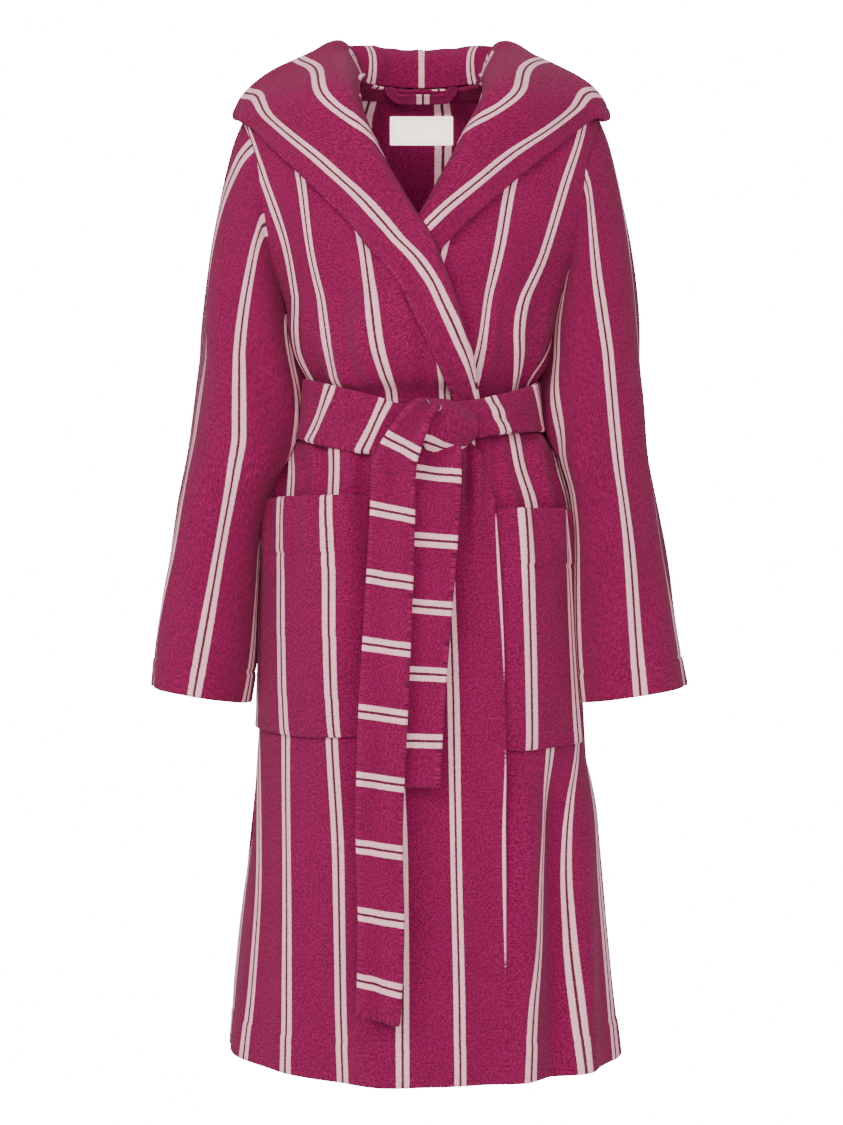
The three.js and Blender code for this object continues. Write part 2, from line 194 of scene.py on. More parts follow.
# Unit normals of a grid of points, from its differences along both directions.
def gridNormals(points, closed=False):
    if closed:
        across = np.roll(points, -1, 0) - np.roll(points, 1, 0)
    else:
        across = np.gradient(points, axis=0)
    down = np.gradient(points, axis=1)
    return unit(np.cross(across, down))


def makeMesh(name, points, faces, uv, material):
    mesh = bpy.data.meshes.new(name)
    mesh.vertices.add(len(points))
    mesh.vertices.foreach_set("co", np.asarray(points, np.float32).ravel())
    mesh.loops.add(faces.size)
    mesh.loops.foreach_set("vertex_index", faces.astype(np.int32).ravel())
    mesh.polygons.add(len(faces))
    mesh.polygons.foreach_set("loop_start", np.arange(0, faces.size, faces.shape[1], dtype=np.int32))
    mesh.polygons.foreach_set("use_smooth", np.ones(len(faces), bool))
    mesh.update(calc_edges=True)
    layer = mesh.uv_layers.new(name="cloth")
    layer.data.foreach_set("uv", np.asarray(uv, np.float32)[faces.ravel()].ravel())
    mesh.materials.append(material)
    mesh.validate()
    made = bpy.data.objects.new(name, mesh)
    bpy.context.scene.collection.objects.link(made)
    return made


# A sheet of cloth round a grid of points, half the thickness to each side, with rounded edges.
# A closed sheet joins its last column to its first.
def sheet(name, points, uv, thickness, material, closed=False, roundness=4):
    n, m = points.shape[:2]
    normals = gridNormals(points, closed)
    half = np.broadcast_to(np.asarray(thickness, float) / 2, (n, m))[..., None]
    top, under = points + normals * half, points - normals * half
    across = (np.roll(points, -1, 0) - points) if closed else np.gradient(points, axis=0)
    down = np.gradient(points, axis=1)
    across, down = unit(across), unit(down)
    index = np.arange(n * m).reshape(n, m)
    vertices = [top.reshape(-1, 3), under.reshape(-1, 3)]
    coordinates = [uv.reshape(-1, 2), uv.reshape(-1, 2)]
    wrapped = np.vstack([index, index[:1]]) if closed else index
    a, b = wrapped[:-1, :-1].ravel(), wrapped[1:, :-1].ravel()
    c, d = wrapped[1:, 1:].ravel(), wrapped[:-1, 1:].ravel()
    faces = [np.stack([a, b, c, d], -1), np.stack([d, c, b, a], -1) + n * m]
    outlines = []
    if closed:
        outlines = [(wrapped[:, 0], -down[:, 0]), (wrapped[::-1, -1], down[::-1, -1])]
        outlines = [(ring, np.vstack([way, way[:1]])) for ring, way in outlines]
    else:
        ring = np.concatenate([index[:, 0], index[-1, 1:], index[-2::-1, -1], index[0, -2::-1]])
        ways = np.zeros((n, m, 3))
        ways[:, 0] -= down[:, 0]
        ways[:, -1] += down[:, -1]
        ways[0, :] -= across[0, :]
        ways[-1, :] += across[-1, :]
        outlines = [(ring, unit(ways).reshape(-1, 3)[ring])]
    total = 2 * n * m
    flatNormals, flatHalf = normals.reshape(-1, 3), half.reshape(-1, 1)
    flatPoints, flatUv = points.reshape(-1, 3), uv.reshape(-1, 2)
    for ring, way in outlines:
        previous = ring
        for k in range(1, roundness + 1):
            turn = np.pi * k / roundness
            if k < roundness:
                rim = (
                    flatPoints[ring]
                    + flatHalf[ring] * (np.cos(turn) * flatNormals[ring] + np.sin(turn) * way)
                )
                rim[-1] = rim[0]
                vertices.append(rim[:-1])
                coordinates.append(flatUv[ring[:-1]])
                current = np.append(total + np.arange(len(ring) - 1), total)
                total += len(ring) - 1
            else:
                current = ring + n * m
            faces.append(np.stack([previous[1:], previous[:-1], current[:-1], current[1:]], -1))
            previous = current
    return makeMesh(name, np.vstack(vertices), np.vstack(faces), np.vstack(coordinates), material)


# Length along a grid's lines from their first point.
def arcs(points, axis):
    steps = np.linalg.norm(np.diff(points, axis=axis), axis=-1)
    start = np.zeros_like(np.take(steps, [0], axis))
    return np.cumsum(np.concatenate([start, steps], axis), axis)


def lattice(n, m):
    return np.meshgrid(np.linspace(0, 1, n), np.linspace(0, 1, m), indexing="ij")


# A shader value that can be reckoned with.
class Value:
    def __init__(self, tree, socket):
        self.tree, self.socket = tree, socket

    def reckon(self, operation, *others):
        made = self.tree.node("ShaderNodeMath", {"operation": operation}, [self, *others])
        return made["Value"]

    def __add__(self, other):
        return self.reckon("ADD", other)

    def __sub__(self, other):
        return self.reckon("SUBTRACT", other)

    def __mul__(self, other):
        return self.reckon("MULTIPLY", other)

    def __truediv__(self, other):
        return self.reckon("DIVIDE", other)

    def __rsub__(self, other):
        return (self * -1) + other

    __radd__ = __add__
    __rmul__ = __mul__

    # 0 below low, 1 above high and an S between.
    def step(self, low, high):
        settings = {"interpolation_type": "SMOOTHSTEP"}
        return self.tree.node("ShaderNodeMapRange", settings, [self, low, high, 0.0, 1.0])["Result"]


# A material's nodes.
class Tree:
    def __init__(self, name):
        self.material = bpy.data.materials.new(name)
        self.material.use_nodes = True
        self.nodes, self.links = self.material.node_tree.nodes, self.material.node_tree.links
        self.shader = self.nodes["Principled BSDF"]

    def put(self, socket, value):
        if isinstance(value, Value):
            self.links.new(value.socket, socket)
        else:
            socket.default_value = value

    # A node with its settings and then its inputs, by name or in order. Its outputs come back by name.
    def node(self, kind, settings=None, inputs=None):
        made = self.nodes.new(kind)
        for key, value in (settings or {}).items():
            setattr(made, key, value)
        pairs = inputs.items() if isinstance(inputs, dict) else enumerate(inputs or [])
        for key, value in pairs:
            self.put(made.inputs[key], value)
        return {output.name: Value(self, output) for output in made.outputs if output.enabled}

    def noise(self, where, scale, detail=2.0, roughness=0.5):
        inputs = {"Vector": where, "Scale": scale, "Detail": detail, "Roughness": roughness}
        return self.node("ShaderNodeTexNoise", None, inputs)["Fac"]

    def blend(self, a, b, factor):
        made = self.nodes.new("ShaderNodeMix")
        made.data_type = "RGBA"
        self.put(made.inputs["Factor"], factor)
        self.put([s for s in made.inputs if s.name == "A" and s.type == "RGBA"][0], a)
        self.put([s for s in made.inputs if s.name == "B" and s.type == "RGBA"][0], b)
        return Value(self, [s for s in made.outputs if s.type == "RGBA"][0])


# Screen values from 0 to 255 as linear light.
def linear(red, green, blue):
    c = np.array([red, green, blue]) / 255
    return (*np.where(c < 0.04045, c / 12.92, ((c + 0.055) / 1.055) ** 2.4).tolist(), 1.0)


# Cotton terry: loops, faint weft rows, uneven dye and, if striped, a pair of pale stripes per repeat.
def terryMaterial(name, base, dark, stripe, line, striped=True):
    tree = Tree(name)
    where = tree.node("ShaderNodeUVMap", {"uv_map": "cloth"})["UV"]
    parts = tree.node("ShaderNodeSeparateXYZ", None, [where])
    u, v = parts["X"], parts["Y"]
    loops = tree.noise(where, 680.0, 2.0, 0.7)
    tufts = tree.noise(where, 330.0, 3.0, 0.65)
    patches = tree.noise(where, 24.0, 3.0, 0.55)
    clouds = tree.noise(where, 6.0, 2.0, 0.5)
    rowsOfWeft = (v * (2 * np.pi / 0.0021)).reckon("SINE") * 0.5 + 0.5
    ragged = (tree.noise(where, 420.0, 2.0, 0.6) - 0.5) * 0.0016
    across = (u + ragged) / stripeRepeat
    aside = ((across.reckon("FRACT") - 0.5).reckon("ABSOLUTE")) * stripeRepeat
    inside = 1 - aside.step(0.0072, 0.0081)
    notMiddle = aside.step(0.0010, 0.0019)
    depth = (tufts * 0.4 + loops * 0.6).step(0.43, 0.57)
    dyed = tree.blend(dark, base, depth * 0.8 + patches * 0.2 + clouds * 0.16 + rowsOfWeft * 0.08)
    pale = tree.blend(tuple(0.8 * c for c in stripe[:3]) + (1.0,), stripe, depth * 0.7 + patches * 0.3)
    colour = dyed
    if striped:
        colour = tree.blend(dyed, tree.blend(line, pale, notMiddle), inside)
    tree.put(tree.shader.inputs["Base Color"], colour)
    height = loops * 0.5 + tufts * 0.5 + rowsOfWeft * 0.12
    if striped:
        height = height + inside * notMiddle * 0.25
    bumped = tree.node("ShaderNodeBump", None, {"Strength": 0.9, "Distance": 0.0018, "Height": height})
    tree.put(tree.shader.inputs["Normal"], bumped["Normal"])
    tree.put(tree.shader.inputs["Roughness"], 0.92)
    tree.put(tree.shader.inputs["Specular IOR Level"], 0.12)
    tree.put(tree.shader.inputs["Sheen Weight"], 0.09)
    tree.put(tree.shader.inputs["Sheen Roughness"], 0.6)
    tree.put(tree.shader.inputs["Sheen Tint"], (0.9, 0.45, 0.6, 1.0))
    return tree.material


berry = linear(146, 18, 78)
berryDark = linear(66, 4, 37)
paleStripe = linear(255, 194, 202)
maroonLine = linear(98, 26, 52)
robeTerry = terryMaterial("robeTerry", berry, berryDark, paleStripe, maroonLine)
plainTerry = terryMaterial("plainTerry", berry, berryDark, paleStripe, maroonLine, striped=False)


# A woven satin label: fine ribs, a slight sheen and a line woven a little inside its edges. It glows
# faintly in its own colour, painted light that lifts it out of the shade inside the neck.
def satinMaterial():
    tree = Tree("labelSatin")
    where = tree.node("ShaderNodeUVMap", {"uv_map": "cloth"})["UV"]
    parts = tree.node("ShaderNodeSeparateXYZ", None, [where])
    x, y = parts["X"], parts["Y"]
    ribs = (x * (2 * np.pi / 0.0007)).reckon("SINE") * 0.5 + 0.5
    fibre = tree.noise(where, 1500.0, 2.0, 0.6)
    inFromSides = 0.038 - (x - 0.038).reckon("ABSOLUTE")
    inFromEnds = 0.017 - (y - 0.017).reckon("ABSOLUTE")
    inwards = inFromSides.reckon("MINIMUM", inFromEnds)
    border = inwards.step(0.0019, 0.0021) - inwards.step(0.0029, 0.0031)
    plain = tree.blend(linear(240, 226, 212), linear(255, 246, 234), ribs * 0.4 + fibre * 0.6)
    colour = tree.blend(plain, linear(214, 200, 190), border)
    tree.put(tree.shader.inputs["Base Color"], colour)
    # Painted light: emission in the label's own colour, so it stays bright in the shade of the hood.
    tree.put(tree.shader.inputs["Emission Color"], colour)
    tree.put(tree.shader.inputs["Emission Strength"], 2.2)
    bumped = tree.node(
        "ShaderNodeBump",
        None,
        {"Strength": 0.3, "Distance": 0.0002, "Height": ribs + fibre},
    )
    tree.put(tree.shader.inputs["Normal"], bumped["Normal"])
    tree.put(tree.shader.inputs["Roughness"], 0.55)
    return tree.material


labelSatin = satinMaterial()
print("materials made")


# Slow swellings that keep a panel from being a perfect form.
def uneven(u, row, which):
    return 0.0022 * ripple(u, dropAt(row), 0.19, 0.5, which)


# How cloth leaves the form: bloused and pleated above the belt, gathered below it, flared at the hem.
def drape(u, row, which):
    drop = dropAt(row)
    above = np.clip((waistDrop - drop) / 0.16, 0, 1)
    blouse = (
        0.013
        * np.sin(np.pi * np.clip((waistDrop + 0.012 - drop) / 0.13, 0, 1)) ** 1.4
        * (drop < waistDrop + 0.012)
    )
    pleatsAbove = (
        0.0052
        * smooth(drop, 0.19, 0.335)
        * (1 - smooth(drop, 0.345, 0.37))
        * ripple(u, drop, 0.048, 0.5, which + 1)
    )
    belowBelt = smooth(drop, 0.402, 0.44) * (1 - smooth(drop, 0.47, 0.62))
    pleatsBelow = 0.0050 * belowBelt * ripple(u, drop, 0.042, 0.6, which + 2)
    flare = 0.0105 * smooth(drop, 0.52, hemDrop) * ripple(u, drop, 0.165, 2.4, which + 3)
    bloom = 0.0065 * bump(drop, 0.430, 0.022)
    return blouse * above ** 0.3 + pleatsAbove + pleatsBelow + bloom + flare + uneven(u, row, which + 4)


hemHeight = 0.043


# Cloth thickness near a turned hem: doubled below the stitching, nipped in where the stitches are.
def hemmed(drop, edge, height, extra=0.0022):
    doubled = extra * smooth(drop, edge - height - 0.001, edge - height + 0.004)
    nip = 0.0021 * bump(drop, edge - height, 0.0021)
    return terry + doubled - nip


# Rows spaced evenly along the cloth, and how far down the cloth each of them is.
def panelRows(n):
    line = onForm(np.full(801, 235.0), rowSteps)
    length = arcs(line[None], 1)[0]
    even = np.linspace(0, length[-1], n)
    return np.interp(even, length, rowSteps), even


# The hem hangs a little higher at the wearer's right side.
def hemRise(angle, row):
    return 0.013 * smooth(row, 7, 8) * bump(angle, 180, 48)


def backPanel():
    n, m = 180, 210
    row, down = panelRows(m)
    s, row = np.meshgrid(np.linspace(0, 1, n), row, indexing="ij")
    start = armhole(row) + 0.15
    angle = mix(start, 180 - start, s)
    flat = place(angle, row, np.zeros_like(angle))
    width = through(rows, halfWidths, row) * 0.55 + through(rows, halfDepths, row) * 0.45
    gathers = through(rows, [1, 1, 1, 0.98, 0.9, 0.74, 0.93, 1.0, 1.06], row)
    u = np.radians(90 - angle) * width / gathers
    out = drape(u, row, 10)
    points = place(angle, row, out)
    points[..., 2] += hemRise(angle, row)
    uv = np.stack([u - 0.0196 + stripeRepeat / 2, np.broadcast_to(down, u.shape)], -1)
    made = sheet("backPanel", points, uv, hemmed(-flat[..., 2], hemDrop, hemHeight), robeTerry)
    return made


# Where stripes cross the right front, from the side to the free edge: x at drops down the body.
rightDrops = [0.040, 0.120, 0.212, 0.311, 0.370, 0.430, 0.490, 0.710, 0.890, 1.040, 1.122]
rightStripes = [
    [-0.214, -0.212, -0.196, -0.158, -0.126, -0.150, -0.176, -0.184, -0.181, -0.188, -0.196],
    [-0.206, -0.180, -0.149, -0.133, -0.116, -0.141, -0.146, -0.151, -0.148, -0.147, -0.148],
    [-0.160, -0.136, -0.123, -0.097, -0.083, -0.090, -0.094, -0.096, -0.088, -0.086, -0.083],
    [-0.112, -0.084, -0.062, -0.043, -0.031, -0.030, -0.029, -0.028, -0.021, -0.020, -0.020],
    [-0.064, -0.036, -0.004, 0.018, 0.024, 0.028, 0.028, 0.034, 0.037, 0.040, 0.041],
]
leftDrops = [
    0.040, 0.069, 0.135, 0.212, 0.310, 0.366, 0.414, 0.500, 0.740, 0.825, 0.900, 0.970, 1.050,
    1.122,
]
leftStripes = [
    [0.216, 0.216, 0.214, 0.203, 0.163, 0.128, 0.150, 0.179, 0.186, 0.188, 0.194, 0.202, 0.210, 0.216],
    [0.210, 0.205, 0.198, 0.178, 0.138, 0.114, 0.136, 0.166, 0.173, 0.165, 0.163, 0.165, 0.170, 0.176],
    [0.184, 0.180, 0.160, 0.137, 0.101, 0.101, 0.098, 0.122, 0.144, 0.138, 0.130, 0.126, 0.117, 0.115],
    [0.128, 0.122, 0.100, 0.086, 0.065, 0.055, 0.052, 0.060, 0.072, 0.070, 0.068, 0.064, 0.058, 0.055],
    [
        0.070, 0.064, 0.044, 0.022, 0.000, -0.006, -0.006, -0.004, 0.002, 0.000, -0.003, -0.006,
        -0.010, -0.012,
    ],
]
rightEdgeDrops = [
    0, 0.020, 0.046, 0.073, 0.110, 0.142, 0.172, 0.200, 0.228, 0.268, 0.313, 0.378, 0.422, 0.454,
    0.492, 0.643, 0.729, 1.122,
]
rightEdge = [
    -0.066, -0.071, -0.068, -0.060, -0.043, -0.027, -0.010, 0.005, 0.017, 0.031, 0.044, 0.056,
    0.049, 0.066, 0.075, 0.084, 0.086, 0.091,
]
leftEdgeDrops = [0, 0.020, 0.046, 0.073, 0.110, 0.142, 0.172, 0.200, 0.286, 0.378, 0.490, 1.122]
leftEdge = [0.066, 0.071, 0.066, 0.054, 0.035, 0.019, 0.003, -0.010, -0.036, -0.060, -0.080, -0.088]


# x of a front's free edge at a drop.
def edgeX(side, drop):
    return through(rightEdgeDrops, rightEdge, drop) if side < 0 else through(
        leftEdgeDrops, leftEdge, drop,
    )


# Distance across the cloth on a front, so that stripe k crosses where the lists say. It runs on at the
# same stretch beyond the first and the last stripe.
def stripedAcross(side, angle, row):
    knots, stripes = (rightDrops, rightStripes) if side < 0 else (leftDrops, leftStripes)
    u = np.empty_like(angle)
    for j in range(angle.shape[1]):
        r = row[0, j]
        x = np.array([through(knots, s, dropAt(r)) for s in stripes])
        crossing = angleAt(x, r)
        if side > 0:
            crossing = 540 - crossing
        for k in range(len(stripes) - 2, -1, -1):
            crossing[k] = min(crossing[k], crossing[k + 1] - 7)
        local = (angle[:, j] if side < 0 else 540 - angle[:, j])
        values = stripeRepeat * (np.arange(len(stripes)) + 0.5)
        slopes = np.gradient(values, crossing)
        inner = through(crossing, values, local)
        before, beyond = local < crossing[0], local > crossing[-1]
        inner[before] = values[0] + slopes[0] * (local[before] - crossing[0]) * 0.8
        inner[beyond] = values[-1] + slopes[-1] * (local[beyond] - crossing[-1])
        u[:, j] = inner
    return u


lapelLift = 0.0088
pocketTop, pocketBottom = 0.490, 0.746
leftPocketTop, leftPocketBottom = 0.503, 0.760


# How far the over front stands off: on the under front, on the collar beneath it and on the left pocket.
def overOut(x, drop):
    start = edgeX(1, drop)
    onto = smooth(x, start - 0.055, start - 0.012)
    lapel = lapelLift * (1 - smooth(drop, 0.348, 0.374)) * smooth(drop, 0.16, 0.22)
    pocket = (
        step
        * smooth(x, 0.030, 0.050)
        * smooth(drop, leftPocketTop - 0.03, leftPocketTop)
        * (1 - smooth(drop, 0.77, 0.86))
    )
    return (step + 0.001 + lapel) * onto + pocket


def frontPanel(side):
    n, m = 130, 230
    row, down = panelRows(m)
    s, row = np.meshgrid(np.linspace(0, 1, n), row, indexing="ij")
    drop = dropAt(row)
    start = 180 + armhole(row) + 0.15
    if side < 0:
        angle = mix(start, angleAt(edgeX(side, drop), row), s)
    else:
        angle = mix(540 - start, angleAt(edgeX(side, drop), row), s)
    u = stripedAcross(side, angle, row)
    x = onForm(angle, row)[..., 0]
    out = drape(u, row, 30 if side < 0 else 50)
    if side < 0:
        out = out + overOut(x, drop)
        nearKnot = smooth(drop, 0.405, 0.43) * (1 - smooth(drop, 0.47, 0.54))
        out = (
            out
            + 0.006 * nearKnot * (bump(x, 0.060, 0.006) + bump(x, 0.041, 0.005) - bump(x, 0.050, 0.005))
        )
    else:
        hidden = 1 - smooth(x, edgeX(-1, drop) - 0.022, edgeX(-1, drop) + 0.006)
        over = drape(stripedAcross(-1, angle, row), row, 30)
        out = mix(out, over - 0.0006, hidden)
        valley = smooth(drop, 0.76, 0.86) * (1 - 0.3 * smooth(drop, 1.0, hemDrop))
        out = (
            out
            + valley * (
                0.012 * bump(x, 0.112, 0.018)
                - 0.014 * bump(x, 0.150, 0.014)
                + 0.010 * bump(x, 0.182, 0.012)
            )
        )
    points = place(angle, row, out)
    points[..., 2] += hemRise(angle, row)
    if side > 0:
        points, u, drop = points[::-1], u[::-1], drop[::-1]
    uv = np.stack([u, np.broadcast_to(down, u.shape)], -1)
    name = "rightFront" if side < 0 else "leftFront"
    made = sheet(name, points, uv, hemmed(drop, hemDrop, hemHeight), robeTerry)
    return made


# Where the outside of a front is, at x and a drop: its row, angle and offset.
def outOnFront(side, x, drop):
    row = rowAt(drop)
    angle = angleAt(x, row)
    u = stripedAcross(side, angle, row)
    out = drape(u, row, 30 if side < 0 else 50)
    return angle, row, out + (overOut(x, drop) if side < 0 else 0)


# The sleeve's outline seen from the front, at drops: outer and inner x.
sleeveDrops = [
    0.046, 0.085, 0.142, 0.200, 0.257, 0.315, 0.372, 0.430, 0.487, 0.545, 0.602, 0.660, 0.706,
]
rightOuter = [0.211, 0.224, 0.230, 0.236, 0.243, 0.249, 0.256, 0.264, 0.274, 0.283, 0.293, 0.301, 0.305]
leftOuter = [0.211, 0.222, 0.229, 0.236, 0.241, 0.245, 0.250, 0.254, 0.263, 0.272, 0.281, 0.290, 0.297]
rightInner = [0.190, 0.175, 0.165, 0.158, 0.152, 0.147, 0.141, 0.143, 0.172, 0.184, 0.188, 0.192, 0.199]
leftInner = [0.190, 0.175, 0.165, 0.158, 0.152, 0.146, 0.141, 0.144, 0.164, 0.170, 0.171, 0.172, 0.176]


# Where the stripe that runs down a sleeve's front lies: x at drops.
sleeveStripes = {
    -1: [
        [0.149, 0.226, 0.311, 0.416, 0.458, 0.522, 0.613, 0.706],
        [0.182, 0.197, 0.204, 0.203, 0.209, 0.220, 0.236, 0.252],
    ],
    1: [
        [0.118, 0.238, 0.287, 0.338, 0.446, 0.527, 0.609, 0.706],
        [0.208, 0.204, 0.206, 0.210, 0.221, 0.229, 0.235, 0.243],
    ],
}


# A tube from the armhole's edge to the cuff. Around it, turn 0 is outside, a quarter is the front.
def sleeve(side):
    n, m = 120, 170
    u, v = lattice(n + 1, m)
    u, v = u[:-1], v[:-1]
    top = 0.36
    outer, inner = (rightOuter, rightInner) if side < 0 else (leftOuter, leftInner)
    turn = 2 * np.pi * u
    share = np.where(u < 0.5, u * 2, 2 - u * 2)
    row = mix(2, 4, share)
    angle = 180 + np.where(u < 0.5, 1, -1) * armhole(row)
    edge = place(angle, row, 0.0)
    tucked = place(
        180 + np.where(u < 0.5, 1, -1) * (armhole(row) + 2.2), row - 0.05 * (share < 0.06),
        -0.0046,
    )
    edge[..., 0], tucked[..., 0] = -edge[..., 0], -tucked[..., 0]

    def ring(drop, turn):
        o, i = through(sleeveDrops, outer, drop), through(sleeveDrops, inner, drop)
        depth = through([0.2, 0.32, 0.5, 0.706], [0.066, 0.064, 0.061, 0.058], drop)
        middle = through([0.2, 0.32, 0.45, 0.6, 0.706], [-0.073, -0.078, -0.092, -0.100, -0.102], drop)
        x = (o + i) / 2 + (o - i) / 2 * np.cos(turn)
        y = middle - depth * np.sin(turn)
        bodyRow = rowAt(drop)
        a, b = through(rows, halfWidths, bodyRow), through(rows, halfDepths, bodyRow)
        bodyX = a * np.sqrt(np.clip(1 - ((y + 0.076) / b) ** 2, 0, 1))
        clear = bodyX + 0.009 + 0.0135 * bump(drop, 0.388, 0.036)
        behind = (
            0.034
            * bump(turn, 1.22 * np.pi, 0.62)
            * smooth(drop, 0.30, 0.36)
            * (1 - smooth(drop, 0.44, 0.52))
        )
        slant = 0.009 * np.cos(turn) * smooth(drop, 0.45, 0.706)
        return np.stack([np.maximum(x - behind, clear), y, slant - drop], -1)

    first = 0.325
    below = ring(mix(first, 0.706, np.clip((v - top) / (1 - top), 0, 1)), turn)
    joined = ring(np.full_like(v, first), turn)
    t = np.clip(v / top, 0, 1)[..., None]
    cap = np.maximum(0, np.cos(turn))[..., None]
    upper = mix(edge, joined, t)
    upper[..., 0] += (0.043 * t * (1 - t) * cap)[..., 0]
    upper = mix(tucked, upper, smooth(v, 0.0, 0.045)[..., None])
    points = np.where((v < top)[..., None], upper, below)
    points[..., 0] *= side
    knots, lines = sleeveStripes[side]
    drop = np.clip(-points[:, :, 2].mean(0), knots[0], 0.706)
    o, i = through(sleeveDrops, outer, drop), through(sleeveDrops, inner, drop)
    stripeTurn = np.arccos(np.clip((through(knots, lines, drop) - (o + i) / 2) / ((o - i) / 2), -1, 1))
    if side < 0:
        points = points[::-1]
        turn = turn[::-1]
    girth = 0.36
    around = turn / (2 * np.pi) * girth
    down = arcs(points, 1)
    folds = ripple(around, down, 0.13, 0.45, 70 + side) * 0.0055 * smooth(v, 0.05, 0.3)
    elbow = (
        0.0035
        * np.sin(down / 0.021 + 3 * around / girth)
        * bump(v, 0.5, 0.12)
        * np.clip(-np.cos(turn), 0, 1)
    )
    points = points + gridNormals(points, closed=True) * (folds + elbow)[..., None]
    length = down[:, -1:]
    offset = stripeRepeat / 2 - stripeTurn / (2 * np.pi) * girth
    uv = np.stack([around + offset, down], -1)
    thickness = hemmed(down - length, 0.0, 0.032, 0.0018)
    name = "rightSleeve" if side < 0 else "leftSleeve"
    made = sheet(name, points, uv, thickness, robeTerry, closed=True)
    return made


seat = terry / 2 + gap + 0.003
collarThickness = 0.0062


# Distance from the rim, which is the last point along v.
def fromRim(points):
    length = arcs(points, 1)
    return length[:, -1:] - length


# The hood and its rolled front edge share one net. Ribs run from the neck seam, up the stand, over the roll
# and out to the face edge: first round the back, then over the shoulder, then down the chest to the belt.
def backRib(angle, bottom, full, rimRow, rimOut):
    turn = np.radians(angle)

    # a place by its distance behind the neck seam and its height
    def standing(away, high):
        return onForm(angle, 0.0) + np.array([np.cos(turn) * away, np.sin(turn) * away, high])

    stand = [
        (0, 0.0045), (-0.002, 0.020), (0.0, 0.037), (0.008, 0.0480), (0.019, 0.0485),
        (0.030, 0.037), (0.034, 0.012),
    ]
    lying = [
        (1.6, 0.013),
        (mix(1.6, bottom, 0.55), 0.008),
        (bottom - 0.1, 0.010 + full * 0.15),
        (bottom, 0.012 + full * 0.55),
        (bottom - 0.15, 0.012 + full),
        (mix(bottom, rimRow, 0.5), 0.012 + full * 1.12),
        (rimRow, rimOut),
    ]
    return [standing(*p) for p in stand] + [place(angle, *p) for p in lying]


def shoulderRib(angle, points):
    return [place(angle, *p) for p in points]


# A rib on the chest, from the front's free edge out to the rim, each at (x, drop).
def chestRib(side, inner, rim, lift):
    shares = np.array([0, 0.01, 0.03, 0.07, 0.12, 0.19, 0.27, 0.36, 0.46, 0.57, 0.68, 0.79, 0.9, 1])
    rise = through(
        [0, 0.03, 0.12, 0.36, 0.79, 1], [-0.0015, lift * 0.6, lift, lift, lift * 0.35, 0], shares,
    )
    x, drop = mix(inner[0], rim[0], shares), mix(inner[1], rim[1], shares)
    angle, row, out = outOnFront(side, x[None], drop[None])
    return list(place(angle, row, out + seat + rise)[0])


collarLines = {
    -1: {
        "inner": [
            (-0.071, 0.046), (-0.048, 0.104), (-0.022, 0.152), (0.004, 0.196), (0.022, 0.240),
            (0.037, 0.288), (0.050, 0.340), (0.059, 0.395),
        ],
        "rim": [
            (-0.186, 0.069), (-0.134, 0.124), (-0.088, 0.172), (-0.054, 0.212), (-0.022, 0.252),
            (0.000, 0.298), (0.021, 0.342), (0.040, 0.395),
        ],
    },
    1: {
        "inner": [
            (0.068, 0.046), (0.042, 0.098), (0.018, 0.145), (-0.006, 0.190), (-0.020, 0.225),
            (-0.033, 0.270), (-0.044, 0.312), (-0.050, 0.338),
        ],
        "rim": [
            (0.186, 0.060), (0.126, 0.114), (0.078, 0.156), (0.036, 0.196), (0.008, 0.230),
            (-0.008, 0.271), (-0.020, 0.310), (-0.027, 0.336),
        ],
    },
}
hoodRibs = 4  # the fifth rib is where the hood's half ends and the rolled edge begins


def hoodNet(side):
    back = [
        backRib(90.15, 3.72, 0.046, 1.95, 0.060),
        backRib(107, 3.66, 0.046, 1.9, 0.060),
        backRib(122, 3.36, 0.042, 1.9, 0.058),
        backRib(137, 2.95, 0.034, 1.95, 0.048),
    ]
    rolls = {
        150.7: [
            (0, 0.003), (0.0, 0.020), (0.02, 0.040), (0.14, 0.053), (0.4, 0.055), (0.68, 0.050),
            (1.0, 0.042), (1.35, 0.034), (1.7, 0.028), (1.95, 0.024), (2.1, 0.024), (2.08, 0.030),
            (1.95, 0.033), (1.8, 0.030),
        ],
        166: [
            (0, 0.003), (0.0, 0.018), (0.02, 0.038), (0.12, 0.050), (0.34, 0.051), (0.6, 0.045),
            (0.88, 0.038), (1.15, 0.034), (1.4, 0.028), (1.58, 0.023), (1.73, 0.018),
            (1.83, 0.015), (1.89, 0.013), (1.91, 0.012),
        ],
        180: [
            (0, 0.003), (0.0, 0.014), (0.03, 0.032), (0.13, 0.045), (0.34, 0.047), (0.6, 0.042),
            (0.88, 0.036), (1.12, 0.033), (1.36, 0.029), (1.58, 0.021), (1.78, 0.014),
            (1.92, 0.011), (2.0, 0.010), (2.05, 0.009),
        ],
        197: [
            (0, 0.002), (0.03, 0.010), (0.1, 0.020), (0.2, 0.028), (0.38, 0.033), (0.58, 0.033),
            (0.8, 0.032), (1.02, 0.030), (1.24, 0.027), (1.46, 0.023), (1.68, 0.018),
            (1.88, 0.013), (2.05, 0.010), (2.2, 0.0085),
        ],
    }
    shoulder = [shoulderRib(angle, points) for angle, points in rolls.items()]
    ribs = np.array(back + shoulder)
    if side > 0:
        ribs[..., 0] = -ribs[..., 0]
    lines = collarLines[side]
    lifts = [0.021, 0.011, 0.007, 0.004, 0.0025, 0.0015, 0.001, 0.0]
    chest = [chestRib(side, *pair) for pair in zip(lines["inner"], lines["rim"], lifts)]
    return np.concatenate([ribs, np.array(chest)])


def hoodSurface(side, low, high, n, m):
    ribs = hoodNet(side)
    u, v = lattice(n, m)
    points = net(ribs, mix(low, high, u) / (len(ribs) - 1), v)
    way = 1 if side < 0 else -1
    at = mix(low, high, u)
    sway = 0.0022 * ripple(at * 0.05, v * 0.3, 0.10, 0.35, 95 + side) * (0.4 + smooth(v, 0.3, 0.6))
    points = points + gridNormals(points) * (way * sway)[..., None]
    return points, u, v, at


